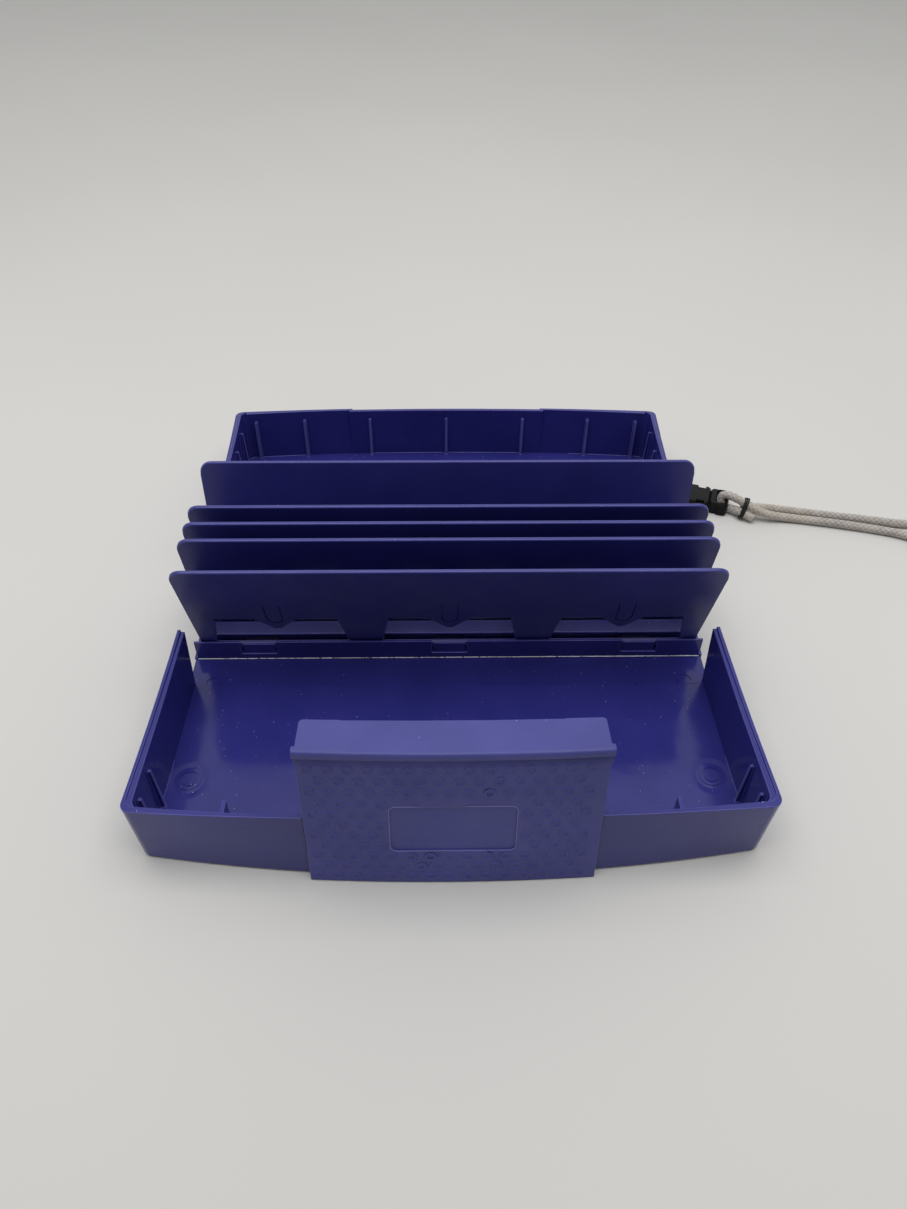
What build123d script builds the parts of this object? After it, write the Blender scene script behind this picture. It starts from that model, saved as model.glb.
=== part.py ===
"""A folding case for game cartridges, lying open on a table.

Two shallow trays are joined to a channel-shaped spine by thin folding edges. Five leaves stand in the
spine like the pages of a book. Each leaf turns on snap-in pins and carries three cartridge pockets on its
rear face. A curved latch is hinged to the front tray, and a wrist strap hangs from the rear tray.

The frame: X to the right, Y away from the front tray, Z up, origin on the table under the spine's middle.
Sizes are in millimetres and angles in degrees.
"""

from math import radians, tan
import os

from build123d import *

os.makedirs("parts", exist_ok=True)

# Cartridges that the case holds
cartridge_width = 57.0
pocket_side_clearance = 0.7
pocket_gap = 6.1

# Trays, measured from the hinge axis outwards
tray_depth = 84.2
tray_bow = 3.5
foot_bow = 8.4
inner_bow = 4.7
tray_flare = 2.3
leaf_to_wall = 0.7
tray_corner_radius = 3.5
rim_step = 0.9
rim_gap = 0.3
rim_ledge = 1.2
ledge_bow = 2.5
rim_side_clearance = 0.2
side_draft = 1.0
end_draft = 1.3
side_wall_at_hinge = 2.4
side_wall_at_corner = 3.0
end_wall = 2.0
end_wall_lean = 1.0
floor_thickness = 2.0
foot_radius = 1.2
side_end_top = 8.6
side_end_foot = 12.5

# Recess in the middle of each outer wall, where the latch lies
recess_half_width = 44.5
recess_foot_depth = 2.0
recess_rim_depth = 0.8
recess_wall = 1.5

# Folding edges between the trays and the spine
hinge_radius = 0.5
hinge_height = 0.55
hinge_gap = 0.3
band_thickness = 1.0
band_width = 14.3

# Gussets inside the trays
rib_thickness = 1.2
rib_below_rim = 5.15
rib_depth = 1.6
rib_taper = 0.7
fin_below_rim = 2.2
fin_depth = 5.4
corner_rib_depth = 3.0
end_rib_shares = (0.0, 0.367, 0.680, 0.909)
fin_share = 0.695
front_side_rib_shares = (0.779, 0.905)
rear_side_rib_shares = (0.683, 0.863)
root_overlap = 0.5
cut_margin = 1.0

# Round moulding marks on the tray floors
mark_radius = 4.0
mark_width = 0.7
mark_button_radius = 2.3
mark_height = 0.25
mark_from_leaf_edge = 5.5
mark_depth = 55.8
small_mark_depth = 11.6
small_mark_radius = 3.1

# Spine
spine_end_margin = 3.7
spine_floor = 1.6
spine_wall = 1.0
spine_wall_height = 9.7
spine_wall_margin = 2.6
cheek_height = 8.0
cheek_thickness = 1.2
notch_width = 13.4
notch_bottom = 3.5
notch_outside_window = 9.2
notch_tab_gap = 0.6
notch_tab_recess = 0.8
notch_tab_thickness = 0.6
notch_tab_top = 7.9
saddle_height = 3.1

# Leaves
leaf_count = 5
leaf_front_margin = 2.6
leaf_rear_margin = 8.6
leaf_running_gap = 0.9
leaf_leans = (17.6, 11.6, 11.7, 11.5, -6.7)
leaf_side_margin = 0.3
leaf_reach = 54.6
leaf_thickness = 1.5
leaf_corner_radius = 4.5
leaf_axis_height = 5.0
window_side_top = 6.4
window_side_bottom = 3.2
window_top = 21.9
window_bottom = 2.1
tab_half_width = 8.0
tab_tip_half_width = 1.2
tab_tip = 14.5
tongue_width = 6.2
tongue_top = 32.3
tongue_bottom = 19.1
tongue_groove = 0.5
tongue_groove_depth = 0.4
tongue_groove_sides = 12
shelf_thickness = 1.5
shelf_top = 4.3
shelf_end_margin = 1.2
shelf_depth = 6.8
shelf_gap = 1.3
rail_thickness = 1.2
rail_set_back = 0.4
rail_top = 30.0
rail_chamfer = 3.0
barrel_radius = 1.5
pin_radius = 1.1
pin_length = 1.9
pin_clearance = 0.06
pin_side_clearance = 0.4

# Latch, measured along its face from its hinge axis
latch_half_width = 44.0
latch_inner_bow = 0.7
latch_outer_bow = 1.3
latch_thickness = 1.8
latch_inner = 1.3
latch_lean = 7.0
lip_rise = 2.7
lip_inset = 0.5
lip_reach = 12.4
lip_thickness = 2.0
lip_corner_radius = 1.2
hook_width = 1.5
hook_depth = 0.18
hook_end_margin = 2.0
tongue_half_width = 43.0
tongue_length = 3.0
ridge_overhang = 0.5
ridge_proud = 1.0
ridge_height = 3.0
ridge_root = 1.4
hollow_length = 3.1
hollow_height = 2.3
hollow_depth = 0.6
plate_width = 37.2
plate_height = 19.7
plate_middle = 24.4
plate_depth = 0.6
plate_radius = 2.0
groove_depth = 0.8
groove_clearance = 0.5

# Strap, measured along it from the bar of the eyelet on the rear tray
strap_turn = -18.0
eyelet_place = 51.2
eyelet_height = 5.3
eyelet_standoff = 3.0
eyelet_bar_radius = 1.0
eyelet_ear_radius = 1.9
eyelet_ear_thickness = 1.6
eyelet_ear_spacing = 8.4
string_diameter = 1.4
string_sides = 8
string_clearance = 0.15
socket_start = 9.4
socket_end = 21.6
socket_width = 13.4
socket_thickness = 6.0
socket_wall = 1.1
mouth_depth = 4.6
mouth_gap = 1.8
mouth_width = 9.0
mouth_height = 3.2
socket_pin_radius = 1.0
socket_cavity_start = 14.6
socket_window_start = 15.8
socket_window_end = 19.2
socket_window_depth = 1.9
plug_gap = 0.2
plug_end = 30.1
plug_width = 12.6
plug_waist = 1.6
plug_fit = 0.25
prong_thickness = 1.7
prong_tip = 15.2
guide_width = 2.6
guide_set_back = 2.0
eye_start = 24.3
eye_end = 28.8
eye_width = 8.4
eye_bar_bottom = 4.95
eye_bar_top = 5.95
buckle_corner_radius = 1.8
buckle_edge_chamfer = 0.6
cord_diameter = 3.8
cord_sides = 12
cord_bend_share = 0.45
whip_start = 35.9
whip_inner_radius = 4.35
whip_thickness = 0.7
whip_length = 2.2
whip_middle_height = 5.2
whip_middle_across = -3.2
cord_clearance = 0.05

# Cord route along the strap: distance along it, distance across it, height above the table
cord_route = (
    (42.0, -6.6, 2.1),
    (36.6, -5.4, 3.8),
    (31.5, -2.2, 2.2),
    (26.5, -1.1, 2.0),
    (26.6, 0.8, 8.4),
    (37.0, -3.2, 7.45),
    (46.0, -4.4, 4.0),
    (57.0, -0.8, 1.9),
    (75.4, 1.3, 2.0),
    (93.5, 2.6, 1.9),
    (108.4, 2.6, 2.0),
    (124.0, -3.5, 1.9),
    (141.0, -4.5, 2.0),
    (154.0, 6.0, 1.9),
    (151.0, 21.0, 2.0),
    (138.0, 25.5, 1.9),
    (123.0, 17.5, 2.0),
    (108.6, 10.2, 1.9),
    (93.1, 8.8, 2.0),
    (75.5, 6.7, 1.9),
    (57.0, 4.7, 2.0),
    (46.5, 1.9, 3.3),
    (36.0, -0.9, 3.9),
)

# Places that follow from the sizes above
window_pitch = cartridge_width + pocket_gap
rail_offset = cartridge_width / 2 + pocket_side_clearance + rail_thickness / 2
leaf_half_width = window_pitch + rail_offset + rail_thickness / 2 + leaf_side_margin
tray_half_at_hinge = leaf_half_width + leaf_to_wall + side_wall_at_hinge
tray_half_at_corner = tray_half_at_hinge + tray_flare
leaf_pitch = leaf_thickness + shelf_depth + leaf_running_gap
leaf_stack = leaf_front_margin + leaf_pitch * (leaf_count - 1) + leaf_rear_margin
spine_wall_inner = leaf_stack / 2
spine_end = spine_wall_inner + spine_wall
hinge_y = spine_end + hinge_gap + hinge_radius
rim_middle = hinge_y + hinge_height
rim_height = rim_middle + (rim_step - rim_gap) / 2
leaf_first = leaf_front_margin - spine_wall_inner
spine_half_length = leaf_half_width + spine_end_margin
spine_wall_half_length = leaf_half_width + spine_wall_margin
shelf_half_length = leaf_half_width - shelf_end_margin
window_half_top = cartridge_width / 2 - window_side_top
window_half_bottom = cartridge_width / 2 - window_side_bottom
notch_pitch = window_pitch + notch_outside_window
mark_x = leaf_half_width - mark_from_leaf_edge
leaf_places = [leaf_first + leaf_pitch * i for i in range(leaf_count)]
notch_places = (-notch_pitch, 0.0, notch_pitch)
pocket_places = (-window_pitch, 0.0, window_pitch)
cheek_inner = leaf_half_width + pin_side_clearance
notch_tab_width = notch_width - 2 * notch_tab_gap
rail_depth = shelf_depth - rail_set_back
rib_top = rim_height - rib_below_rim
fin_top = rim_height - fin_below_rim
rim_edge = tray_depth + tray_bow
foot_edge = tray_depth - end_draft + foot_bow
recess_foot = foot_edge - recess_foot_depth
recess_rim = rim_edge - recess_rim_depth
latch_axis_y = recess_foot + hinge_gap + hinge_radius
latch_axis_z = hinge_height
hook_offset = lip_reach - latch_inner - latch_thickness - hook_width / 2


def bow_at(x, half_width, bow):
    """How far a bowed edge falls short of its middle at the distance x from it."""
    return bow * (x / half_width) ** 2


def tray_outline(half_at_hinge, half_at_corner, depth, bow):
    """A tray's outline from the hinge axis out, with slightly flaring sides and a bowed outer edge."""
    flare = (half_at_corner - half_at_hinge) / 4
    with BuildSketch() as outline:
        with BuildLine():
            Line((-half_at_hinge, 0), (half_at_hinge, 0))
            ThreePointArc(
                (half_at_hinge, 0), (half_at_hinge + flare, depth / 2), (half_at_corner, depth)
            )
            ThreePointArc((half_at_corner, depth), (0, depth + bow), (-half_at_corner, depth))
            ThreePointArc(
                (-half_at_corner, depth), (-half_at_hinge - flare, depth / 2), (-half_at_hinge, 0)
            )
        make_face()
        outer_corners = outline.vertices().sort_by(Axis.Y)[-2:]
        fillet(outer_corners, radius=tray_corner_radius)
    return outline.sketch


def bowed_strip(half_width, inner, outer, inner_bow, outer_bow):
    """A strip in plan across X, between two bowed lines whose middles lie at the given depths."""
    with BuildSketch() as strip:
        with BuildLine():
            ThreePointArc((-half_width, inner - inner_bow), (0, inner), (half_width, inner - inner_bow))
            Line((half_width, inner - inner_bow), (half_width, outer - outer_bow))
            ThreePointArc((half_width, outer - outer_bow), (0, outer), (-half_width, outer - outer_bow))
            Line((-half_width, outer - outer_bow), (-half_width, inner - inner_bow))
        make_face()
    return strip.sketch


def tray_shell(side_height, ledge_height, side_rib_shares, end_ribs):
    """A tray with its hinge axis over X and its outer wall at +Y.

    side_height is the height of the rim's outer ledge and ledge_height that of its inner ledge. Each end
    rib is given by its place as a share of the tray's half width, its depth at the foot and its top.
    """
    inner_at_hinge = tray_half_at_hinge - side_wall_at_hinge
    inner_at_corner = tray_half_at_corner - side_wall_at_corner
    top = max(side_height, ledge_height)
    recess_fall = bow_at(recess_half_width, tray_half_at_corner, tray_bow)
    pad_half_width = recess_half_width + recess_wall
    pad_inner = recess_rim - recess_wall
    inner_foot = tray_depth - end_wall - end_wall_lean
    with BuildPart() as shell:
        with BuildSketch(Plane.XY):
            add(
                tray_outline(
                    tray_half_at_hinge, tray_half_at_corner - side_draft, tray_depth - end_draft, foot_bow
                )
            )
        with BuildSketch(Plane.XY.offset(top)):
            add(tray_outline(tray_half_at_hinge, tray_half_at_corner, tray_depth, tray_bow))
        loft()
        foot = shell.edges().group_by(Axis.Z)[0].sort_by(Axis.Y)[1:]
        fillet(foot, radius=foot_radius)
        # cavity
        with BuildSketch(Plane.XY.offset(floor_thickness)):
            add(tray_outline(inner_at_hinge, inner_at_corner, inner_foot, inner_bow))
        with BuildSketch(Plane.XY.offset(top)):
            add(tray_outline(inner_at_hinge, inner_at_corner, tray_depth - end_wall, inner_bow))
        loft(mode=Mode.SUBTRACT)
        # pad inside the outer wall, behind the latch's recess
        with BuildSketch(Plane.XY.offset(floor_thickness - root_overlap)):
            add(
                bowed_strip(
                    pad_half_width,
                    pad_inner,
                    recess_rim + recess_rim_depth / 2,
                    recess_fall,
                    recess_fall,
                )
            )
        extrude(amount=top - floor_thickness + root_overlap)
        # side walls end short of the hinge, with a slanted edge
        with BuildSketch(Plane.YZ):
            with BuildLine():
                Polyline(
                    (-cut_margin, band_thickness),
                    (side_end_foot, band_thickness),
                    (side_end_foot, floor_thickness),
                    (side_end_top, top + cut_margin),
                    (-cut_margin, top + cut_margin),
                    close=True,
                )
            make_face()
        extrude(amount=2 * tray_half_at_corner, both=True, mode=Mode.SUBTRACT)
        # thin band beside the hinge
        with BuildSketch(Plane.YZ):
            with BuildLine():
                Polyline(
                    (-cut_margin, band_thickness),
                    (band_width - (floor_thickness - band_thickness), band_thickness),
                    (band_width, floor_thickness),
                    (-cut_margin, floor_thickness),
                    close=True,
                )
            make_face()
        extrude(amount=inner_at_hinge, both=True, mode=Mode.SUBTRACT)
        # rounded folding edge
        with BuildSketch(Plane.YZ):
            Rectangle(4 * hinge_radius, 8 * hinge_radius)
        extrude(amount=2 * tray_half_at_corner, both=True, mode=Mode.SUBTRACT)
        with BuildSketch(Plane.YZ):
            with Locations((0, hinge_height)):
                Circle(hinge_radius)
            with BuildLine():
                Polyline(
                    (0, hinge_height - hinge_radius),
                    (2 * hinge_radius, 0),
                    (2 * hinge_radius, band_thickness),
                    (0, hinge_height + hinge_radius),
                    close=True,
                )
            make_face()
        extrude(amount=tray_half_at_hinge, both=True)
        # recess for the latch in the outer wall
        for level, edge in ((0, recess_foot), (top, recess_rim)):
            with BuildSketch(Plane.XY.offset(level)):
                add(
                    bowed_strip(
                        recess_half_width, edge, rim_edge + 3 * foot_bow, recess_fall, recess_fall
                    )
                )
        loft(mode=Mode.SUBTRACT)
        # ribs on the outer wall
        for share, depth, height in end_ribs:
            place = share * tray_half_at_corner
            root_y = inner_foot + inner_bow - bow_at(place, inner_at_corner, inner_bow)
            if place < pad_half_width:
                root_y = pad_inner - bow_at(place, pad_half_width, recess_fall)
            for x in sorted({place, -place}):
                with BuildSketch(Plane.YZ.offset(x - rib_thickness / 2)):
                    with BuildLine():
                        Polyline(
                            (root_y - depth, floor_thickness - root_overlap),
                            (root_y + end_wall_lean, floor_thickness - root_overlap),
                            (root_y + end_wall_lean, height),
                            (root_y - depth + rib_taper, height),
                            close=True,
                        )
                    make_face()
                extrude(amount=rib_thickness)
        # ribs on the side walls
        for share in side_rib_shares:
            place = share * tray_depth
            wall_x = inner_at_hinge + (inner_at_corner - inner_at_hinge) * (place / tray_depth) ** 2
            for side in (1, -1):
                with BuildSketch(Plane.XZ.offset(-place - rib_thickness / 2)):
                    with BuildLine():
                        Polyline(
                            (side * (wall_x - rib_depth), floor_thickness - root_overlap),
                            (side * (wall_x + 2 * root_overlap), floor_thickness - root_overlap),
                            (side * (wall_x + 2 * root_overlap), rib_top),
                            (side * (wall_x - rib_depth + rib_taper), rib_top),
                            close=True,
                        )
                    make_face()
                extrude(amount=rib_thickness)
        # round marks left by the mould
        with BuildSketch(Plane.XY.offset(floor_thickness)):
            with Locations((mark_x, mark_depth), (-mark_x, mark_depth)):
                Circle(mark_radius)
                Circle(mark_radius - mark_width, mode=Mode.SUBTRACT)
                Circle(mark_button_radius)
        extrude(amount=mark_height)
        with BuildSketch(Plane.XY.offset(band_thickness)):
            with Locations((mark_x, small_mark_depth), (-mark_x, small_mark_depth)):
                Circle(small_mark_radius)
                Circle(small_mark_radius - mark_width, mode=Mode.SUBTRACT)
        extrude(amount=mark_height)
        # the step along the side rims, which fits into the step of the other tray
        if ledge_height < side_height:
            inset = rim_ledge
            with BuildSketch(Plane.XY.offset(ledge_height)):
                add(
                    tray_outline(
                        tray_half_at_hinge - inset,
                        tray_half_at_corner - inset,
                        tray_depth - end_wall,
                        ledge_bow,
                    )
                )
            extrude(amount=2 * rim_step, mode=Mode.SUBTRACT)
        else:
            inset = rim_ledge + rim_side_clearance
            with BuildSketch(Plane.XY.offset(side_height)):
                Rectangle(4 * tray_half_at_corner, 4 * tray_depth)
                add(
                    tray_outline(
                        tray_half_at_hinge - inset,
                        tray_half_at_corner - inset,
                        tray_depth - end_wall - rim_side_clearance,
                        ledge_bow,
                    ),
                    mode=Mode.SUBTRACT,
                )
            extrude(amount=2 * rim_step, mode=Mode.SUBTRACT)
    return shell.part


def leaf_plate():
    """A leaf with its pin axis over X, standing straight up, with its pockets at +Y."""
    back = leaf_thickness / 2
    with BuildPart() as leaf:
        with BuildSketch(Plane.XZ.offset(-back)) as face:
            with Locations((0, leaf_reach / 2)):
                Rectangle(2 * leaf_half_width, leaf_reach)
            fillet(face.vertices().sort_by(Axis.Y)[-2:], radius=leaf_corner_radius)
            for x in pocket_places:
                # window with a pointed tab hanging into it
                with BuildLine():
                    Polyline(
                        (x - window_half_bottom, window_bottom),
                        (x + window_half_bottom, window_bottom),
                        (x + window_half_top, window_top),
                        (x + tab_half_width, window_top),
                        (x + tab_tip_half_width, tab_tip),
                        (x - tab_tip_half_width, tab_tip),
                        (x - tab_half_width, window_top),
                        (x - window_half_top, window_top),
                        close=True,
                    )
                make_face(mode=Mode.SUBTRACT)
        extrude(amount=leaf_thickness)
        # shallow groove in the shape of a U on the front face, over each tab
        bend = tongue_width / 2
        straight = tongue_top - tongue_bottom - bend
        with BuildSketch(Plane.XZ.offset(back)):
            for x in pocket_places:
                for radius, mode in ((bend, Mode.ADD), (bend - tongue_groove, Mode.SUBTRACT)):
                    with Locations((x, tongue_bottom + bend + straight / 2)):
                        Rectangle(2 * radius, straight, mode=mode)
                    with Locations((x, tongue_bottom + bend)):
                        RegularPolygon(radius, tongue_groove_sides, mode=mode)
        extrude(amount=-tongue_groove_depth, mode=Mode.SUBTRACT)
        # barrel and end pins
        with BuildSketch(Plane.YZ):
            Circle(barrel_radius)
        extrude(amount=leaf_half_width, both=True)
        with BuildSketch(Plane.YZ):
            Circle(pin_radius)
        extrude(amount=leaf_half_width + pin_length, both=True)
        # shelf under the cartridges
        shelf_middle = back + (shelf_depth - root_overlap) / 2
        with Locations((0, shelf_middle, shelf_top - shelf_thickness / 2)):
            Box(2 * shelf_half_length, shelf_depth + root_overlap, shelf_thickness)
        for x in pocket_places:
            with Locations((x, back + shelf_gap / 2 - root_overlap / 2, shelf_top - shelf_thickness / 2)):
                Box(
                    2 * window_half_bottom,
                    shelf_gap + root_overlap,
                    2 * shelf_thickness,
                    mode=Mode.SUBTRACT,
                )
        # guide rails on both sides of each pocket
        for x in pocket_places:
            for side in (1, -1):
                rail_x = x + side * rail_offset
                with BuildSketch(Plane.YZ.offset(rail_x - rail_thickness / 2)):
                    with BuildLine():
                        Polyline(
                            (back - root_overlap, shelf_top - root_overlap),
                            (back + rail_depth, shelf_top - root_overlap),
                            (back + rail_depth, rail_top - rail_chamfer),
                            (back + rail_depth - rail_chamfer, rail_top),
                            (back - root_overlap, rail_top),
                            close=True,
                        )
                    make_face()
                extrude(amount=rail_thickness)
    return leaf.part


# Front tray, with the tongue that carries the latch's folding edge
front_end_ribs = [(share, rib_depth, rib_top) for share in end_rib_shares[:2]]
front_end_ribs.append((fin_share, fin_depth, fin_top))
front_end_ribs.append((end_rib_shares[-1], corner_rib_depth, rib_top))
front_tray_solid = tray_shell(
    rim_height, rim_height - rim_step, front_side_rib_shares, front_end_ribs
)
with BuildPart() as front_tray:
    with Locations(Location((0, -hinge_y, 0), (0, 0, 180))):
        add(front_tray_solid)
        with Locations((0, recess_foot - tongue_length / 2, band_thickness / 2)):
            Box(2 * tongue_half_width, tongue_length, band_thickness)
front_tray.part.label = "front_tray"
export_step(front_tray.part, "parts/front_tray.step")

# Rear tray, with the strap's eyelet and the groove for the latch's hook
rear_end_ribs = [(share, rib_depth, rib_top) for share in end_rib_shares]
rear_tray_solid = tray_shell(rim_height - rim_step, rim_height, rear_side_rib_shares, rear_end_ribs)
eyelet_y = hinge_y + eyelet_place
eyelet_wall_x = tray_half_at_hinge
eyelet_wall_x += (tray_half_at_corner - side_draft - tray_half_at_hinge) * (eyelet_place / tray_depth) ** 2
eyelet_x = eyelet_wall_x + eyelet_standoff
ear_bottom = eyelet_height - eyelet_ear_spacing / 2 - eyelet_ear_thickness / 2
with BuildPart() as rear_tray:
    with Locations((0, hinge_y, 0)):
        add(rear_tray_solid)
        with Locations((0, latch_axis_y - hook_offset, 0)):
            Box(
                2 * (tongue_half_width + groove_clearance),
                hook_width + 2 * groove_clearance,
                2 * groove_depth,
                mode=Mode.SUBTRACT,
            )
    for level in (ear_bottom, ear_bottom + eyelet_ear_spacing):
        with BuildSketch(Plane.XY.offset(level)):
            with Locations((eyelet_x, eyelet_y)):
                Circle(eyelet_ear_radius)
            with Locations((eyelet_x - (eyelet_standoff + root_overlap) / 2, eyelet_y)):
                Rectangle(eyelet_standoff + root_overlap, 2 * eyelet_ear_radius)
        extrude(amount=eyelet_ear_thickness)
    with BuildSketch(Plane.XY.offset(ear_bottom + eyelet_ear_thickness / 2)):
        with Locations((eyelet_x, eyelet_y)):
            Circle(eyelet_bar_radius)
    extrude(amount=eyelet_ear_spacing)
rear_tray.part.label = "rear_tray"
export_step(rear_tray.part, "parts/rear_tray.step")

# Spine: a shallow channel with notched walls, and end cheeks for the leaf pins
with BuildPart() as spine:
    with Locations((0, 0, spine_floor / 2)):
        Box(2 * spine_half_length, 2 * spine_end, spine_floor)
    for side in (1, -1):
        with Locations((0, side * (spine_end - spine_wall / 2), spine_wall_height / 2)):
            Box(2 * spine_wall_half_length, spine_wall, spine_wall_height)
    notch_height = spine_wall_height - notch_bottom
    for x in notch_places:
        with Locations((x, 0, notch_bottom + notch_height / 2)):
            Box(notch_width, 2 * spine_end + spine_wall, notch_height, mode=Mode.SUBTRACT)
    # tabs standing in the notches, and saddles under the leaves
    tab_y = spine_end - notch_tab_recess - notch_tab_thickness / 2
    for x in notch_places:
        with Locations((x, tab_y, notch_tab_top / 2), (x, -tab_y, notch_tab_top / 2)):
            Box(notch_tab_width, notch_tab_thickness, notch_tab_top)
        with Locations((x, 0, saddle_height / 2)):
            Box(notch_tab_width, 2 * spine_end - spine_wall, saddle_height)
    for side in (1, -1):
        with Locations((side * (cheek_inner + cheek_thickness / 2), 0, cheek_height / 2)):
            Box(cheek_thickness, 2 * spine_end - spine_wall, cheek_height)
    with BuildSketch(Plane.YZ):
        with Locations([(y, leaf_axis_height) for y in leaf_places]):
            Circle(pin_radius + pin_clearance)
    extrude(amount=cheek_inner + 2 * cheek_thickness, both=True, mode=Mode.SUBTRACT)
spine.part.label = "spine"
export_step(spine.part, "parts/spine.step")

# Leaves, each leaning as it does in the open case
plain_leaf = leaf_plate()
for number, (y, lean) in enumerate(zip(leaf_places, leaf_leans), start=1):
    with BuildPart() as leaf:
        with Locations(Location((0, y, leaf_axis_height), (lean, 0, 0))):
            add(plain_leaf)
    leaf.part.label = f"leaf_{number}"
    export_step(leaf.part, f"parts/leaf_{number}.step")

# Latch, built upright with its hinge axis over X and its outer face at +Y
latch_outer = latch_inner + latch_thickness
cover_level = 2 * rim_middle - latch_axis_z
lip_underside = cover_level + lip_rise
latch_length = lip_underside + lip_thickness
lip_end = latch_outer - lip_reach
hook_height = lip_rise + hook_depth + root_overlap
with BuildPart() as upright_latch:
    with BuildSketch(Plane.XY.offset(-latch_axis_z)):
        add(
            bowed_strip(
                latch_half_width, latch_inner, latch_outer, latch_inner_bow, latch_outer_bow
            )
        )
    extrude(amount=latch_axis_z + latch_length)
    with BuildSketch(Plane.YZ):
        Circle(hinge_radius)
        with BuildLine():
            Polyline(
                (0, -hinge_radius),
                (latch_inner + root_overlap, -latch_axis_z),
                (latch_inner + root_overlap, band_thickness - latch_axis_z),
                (0, hinge_radius),
                close=True,
            )
        make_face()
    extrude(amount=latch_half_width, both=True)
    # lip over the rear tray, with a hook along its end
    with BuildSketch(Plane.XY.offset(lip_underside)) as lip_plan:
        add(
            bowed_strip(
                latch_half_width - lip_inset, lip_end, latch_outer, latch_inner_bow, latch_outer_bow
            )
        )
        fillet(lip_plan.vertices().sort_by(Axis.Y)[:2], radius=lip_corner_radius)
    extrude(amount=lip_thickness)
    with Locations((0, lip_end + hook_width / 2, cover_level - hook_depth + hook_height / 2)):
        Box(2 * (tongue_half_width - hook_end_margin), hook_width, hook_height)
    # ridge along the top edge, and the hollow under it
    with BuildPart(mode=Mode.PRIVATE) as ridge:
        with BuildSketch(Plane.XY.offset(latch_length - ridge_height)):
            add(
                bowed_strip(
                    latch_half_width + ridge_overhang,
                    latch_outer - ridge_root,
                    latch_outer + ridge_proud,
                    latch_outer_bow,
                    latch_outer_bow,
                )
            )
        extrude(amount=ridge_height)
        outer_face = ridge.faces().filter_by(GeomType.CYLINDER).sort_by(Axis.Y)[-1]
        fillet(outer_face.edges(), radius=ridge_proud)
    add(ridge.part)
    ridge_bottom = latch_length - ridge_height
    hollow_levels = (
        (ridge_bottom - hollow_length, 0.0),
        (ridge_bottom - hollow_length + hollow_height, hollow_depth),
        (ridge_bottom, 0.0),
    )
    for (low, low_cut), (high, high_cut) in zip(hollow_levels, hollow_levels[1:]):
        for level, cut in ((low, low_cut), (high, high_cut)):
            with BuildSketch(Plane.XY.offset(level)):
                add(
                    bowed_strip(
                        latch_half_width + 2 * ridge_overhang,
                        latch_outer - cut,
                        latch_outer + 2 * ridge_proud,
                        latch_outer_bow,
                        latch_outer_bow,
                    )
                )
        loft(mode=Mode.SUBTRACT)
    # bare label plate, set in
    with BuildSketch(Plane.XZ.offset(-latch_outer - cut_margin)):
        with Locations((0, plate_middle)):
            RectangleRounded(plate_width, plate_height, plate_radius)
    extrude(amount=cut_margin + plate_depth, mode=Mode.SUBTRACT)
with BuildPart() as latch:
    with Locations(Location((0, -hinge_y - latch_axis_y, latch_axis_z), (-latch_lean, 0, 180))):
        add(upright_latch.part)
latch.part.label = "latch"
export_step(latch.part, "parts/latch.step")

# Strap, laid out along X from the eyelet's bar and then turned into place
strap_location = Location((eyelet_x, eyelet_y, 0), (0, 0, strap_turn))
socket_middle = socket_thickness / 2
string_radius = string_diameter / 2
string_bend = eyelet_bar_radius + string_clearance + string_radius
socket_pin_x = socket_start + mouth_depth - mouth_gap - socket_pin_radius

with BuildPart() as tether_loop:
    with Locations(strap_location):
        with BuildPart(mode=Mode.PRIVATE) as string:
            with BuildLine(Plane.XY.offset(socket_middle)) as string_path:
                Line((0, string_bend), (socket_pin_x, string_bend))
                RadiusArc((socket_pin_x, string_bend), (socket_pin_x, -string_bend), string_bend)
                Line((socket_pin_x, -string_bend), (0, -string_bend))
                RadiusArc((0, -string_bend), (0, string_bend), string_bend)
            with BuildSketch(Plane(origin=(0, string_bend, socket_middle), z_dir=(1, 0, 0))):
                RegularPolygon(string_radius, string_sides)
            sweep(path=string_path.wires()[0])
        add(string.part)
tether_loop.part.label = "tether_loop"
export_step(tether_loop.part, "parts/tether_loop.step")

with BuildPart() as buckle_socket:
    with Locations(strap_location):
        with BuildPart(mode=Mode.PRIVATE) as socket:
            with BuildSketch(Plane.XY):
                with Locations(((socket_start + socket_end) / 2, 0)):
                    RectangleRounded(socket_end - socket_start, socket_width, buckle_corner_radius)
            extrude(amount=socket_thickness)
            flats = socket.faces().filter_by(Axis.Z)
            chamfer(flats.edges(), length=buckle_edge_chamfer)
            # mouth for the string, with a pin across it
            with Locations((socket_start + (mouth_depth - cut_margin) / 2, 0, socket_middle)):
                Box(mouth_depth + cut_margin, mouth_width, mouth_height, mode=Mode.SUBTRACT)
            with Locations((socket_pin_x, 0, socket_middle)):
                Cylinder(socket_pin_radius, mouth_height + 2 * root_overlap)
            # cavity for the plug's prongs, and the release windows
            cavity_middle = (socket_cavity_start + socket_end + cut_margin) / 2
            with Locations((cavity_middle, 0, socket_middle)):
                Box(
                    socket_end - socket_cavity_start + cut_margin,
                    socket_width - 2 * socket_wall,
                    socket_thickness - 2 * socket_wall,
                    mode=Mode.SUBTRACT,
                )
            window_middle = (socket_window_start + socket_window_end) / 2
            for side in (1, -1):
                with Locations((window_middle, side * socket_width / 2, socket_middle)):
                    Box(
                        socket_window_end - socket_window_start,
                        2 * socket_window_depth,
                        2 * socket_thickness,
                        mode=Mode.SUBTRACT,
                    )
        add(socket.part)
buckle_socket.part.label = "buckle_socket"
export_step(buckle_socket.part, "parts/buckle_socket.step")

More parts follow.
